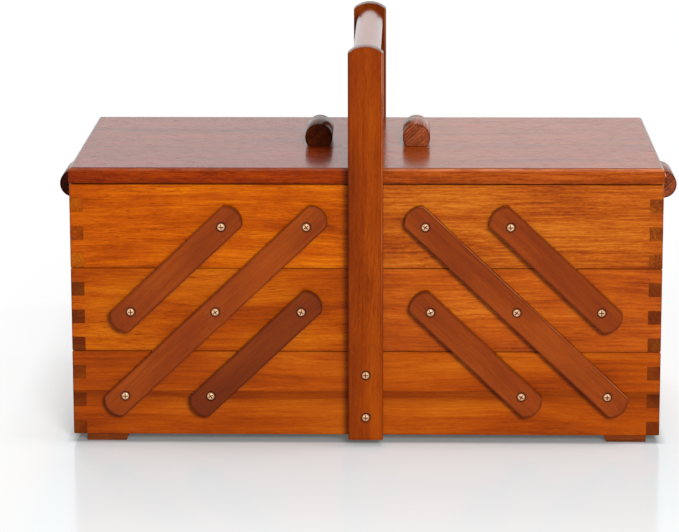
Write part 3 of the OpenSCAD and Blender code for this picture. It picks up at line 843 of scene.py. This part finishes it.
def floor_material():
    """Pale, slightly glossy floor that keeps the shadow, has painted shadow under and just round the
    box, and turns pure white further away.
    """
    material = bpy.data.materials.new("floor")
    material.use_nodes = True
    material.node_tree.nodes.clear()
    graph = Graph(material.node_tree)
    output = graph.node("ShaderNodeOutputMaterial")
    place = graph.node("ShaderNodeTexCoord").outputs["Object"]
    outside = graph.vector("SUBTRACT", graph.vector("ABSOLUTE", place), BOX_HALF)
    outside = graph.vector("MAXIMUM", outside, (0, 0, 0))
    distance = graph.vector("LENGTH", outside)
    side_gap = graph.separate(outside)[0]
    seen = seen_directly(graph)

    # Near the box the floor is tinted cool, which takes out the warm light and reflection that the box
    # throws on it
    cooled = graph.spread(distance, *COOL_FADE)
    cooled = graph.math("MULTIPLY", cooled, graph.spread(side_gap, *COOL_SIDE_FADE))
    tint = graph.mix(cooled, WHITE, COOL_WHITE)
    # Painted shadow: the floor is darker under the box and up to 6 mm round it
    painted_contact_shadow = graph.spread(distance, *PAINTED_SHADOW_FADE)
    tone = graph.mix(1.0, tint, graph.combine(painted_contact_shadow, painted_contact_shadow, painted_contact_shadow), "MULTIPLY")
    diffuse = graph.node("ShaderNodeBsdfDiffuse")
    graph.feed(diffuse.inputs["Color"], graph.mix(seen, BOUNCE_GREY, tone))
    white = graph.node("ShaderNodeEmission")
    graph.feed(white.inputs["Color"], tint)

    lit_side = graph.spread(graph.separate(place)[0], *LIT_SIDE_FADE)
    sideways = graph.math("MAXIMUM", graph.spread(side_gap, *WHITE_SIDE_FADE), lit_side)
    sideways = graph.math("MULTIPLY", sideways, graph.math("GREATER_THAN", side_gap, 0.0))
    white_share = graph.math("MAXIMUM", sideways, graph.spread(distance, *WHITE_FADE))
    painted = blend_shaders(graph, graph.math("MULTIPLY", white_share, seen), diffuse, white)

    gloss = graph.node("ShaderNodeBsdfGlossy")
    gloss.inputs["Roughness"].default_value = FLOOR_GLOSS
    fresnel = graph.node("ShaderNodeFresnel")
    fresnel.inputs["IOR"].default_value = FLOOR_IOR
    shine = graph.math("MULTIPLY", fresnel.outputs[0], seen)
    shine = graph.math("MULTIPLY", shine, graph.spread(distance, *GLOSS_FADE))
    shine = graph.math("MULTIPLY", shine, graph.spread(side_gap, *GLOSS_SIDE_FADE))
    polished = blend_shaders(graph, shine, painted, gloss)
    graph.feed(output.inputs["Surface"], polished.outputs[0])
    return material


def make_floor():
    """Adds the floor, which isn't part of the object."""
    floor = floor_disc()
    floor.data.materials.append(floor_material())


def make_world():
    """White studio: the eye and reflections see white, and surfaces get an even, plain light."""
    world = bpy.data.worlds.new("studio")
    bpy.context.scene.world = world
    world.use_nodes = True
    world.node_tree.nodes.clear()
    graph = Graph(world.node_tree)
    output = graph.node("ShaderNodeOutputWorld")
    background = graph.node("ShaderNodeBackground")
    background.inputs["Color"].default_value = WHITE
    strength = graph.spread(seen_directly(graph), 0, 1, WORLD_LEVEL, 1.0)
    graph.feed(background.inputs["Strength"], strength)
    graph.feed(output.inputs["Surface"], background.outputs[0])


def add_lamp(name, place, size, power, mirrored=True):
    """Rectangular lamp that aims at the object; one that isn't mirrored leaves no glare in lacquer."""
    data = bpy.data.lights.new(name, "AREA")
    data.shape = "RECTANGLE"
    data.size = size[0]
    data.size_y = size[1]
    data.energy = power
    lamp = bpy.data.objects.new(name, data)
    bpy.context.scene.collection.objects.link(lamp)
    lamp.location = place
    lamp.rotation_mode = "QUATERNION"
    lamp.rotation_quaternion = (LAMP_AIM - Vector(place)).to_track_quat("-Z", "Y")
    lamp.visible_glossy = mirrored


def make_lamps():
    """Large soft lamps in front and behind, and small ones that glint in lacquer and brass."""
    add_lamp("key", KEY_PLACE, size=(0.85, 0.75), power=62, mirrored=False)
    add_lamp("sparkle", KEY_PLACE, size=(0.3, 0.3), power=8)
    add_lamp("back", BACK_PLACE, size=(1.0, 0.7), power=24, mirrored=False)
    add_lamp("overhead", OVERHEAD_PLACE, size=(0.35, 0.35), power=6)


make_camera()
finish_wood()
round_all_edges()
make_floor()
make_world()
make_lamps()
bpy.context.scene.view_settings.view_transform = "Standard"
